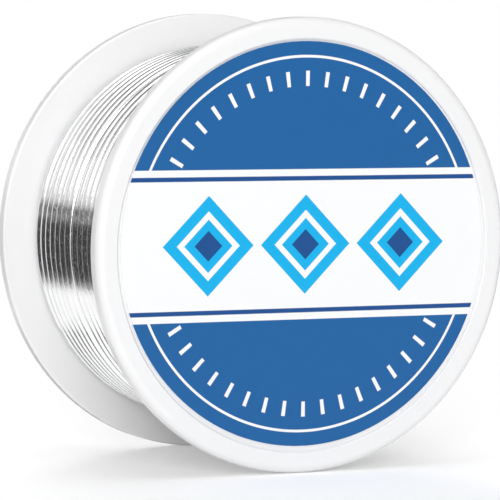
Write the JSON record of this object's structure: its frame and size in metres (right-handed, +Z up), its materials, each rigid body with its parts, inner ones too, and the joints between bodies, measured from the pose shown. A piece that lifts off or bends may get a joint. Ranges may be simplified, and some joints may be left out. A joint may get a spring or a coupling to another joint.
{
  "type": "solder wire spool",
  "caption": "Spool of flux-cored solder wire: wire wound on a hub barrel between snap-in flanges, with a through bore and a round label in the front recess.",
  "frame": {"origin": "middle of the spool on its axis", "axes": "+Y along the axis, out of the rear bore mouth; the label faces -Y; +Z up, with the label upright"},
  "size_m": [0.045, 0.025, 0.045],
  "materials": {
    "flange_plastic": "white moulded polystyrene, satin gloss",
    "hub_plastic": "white moulded polystyrene, satin gloss",
    "label_paper": "printed paper label in blue, cyan and white, semi-gloss varnish",
    "solder": "bright drawn tin alloy wire",
    "flux": "amber rosin flux at the cut end of the wire"
  },
  "bodies": {
    "root": {"front_flange": "flange_plastic", "rear_flange": "flange_plastic", "hub_barrel": "hub_plastic", "front_label": "label_paper", "solder_inner_layers": "solder", "solder_outer_layer": "solder", "flux_core": "flux"}
  },
  "joints": []
}
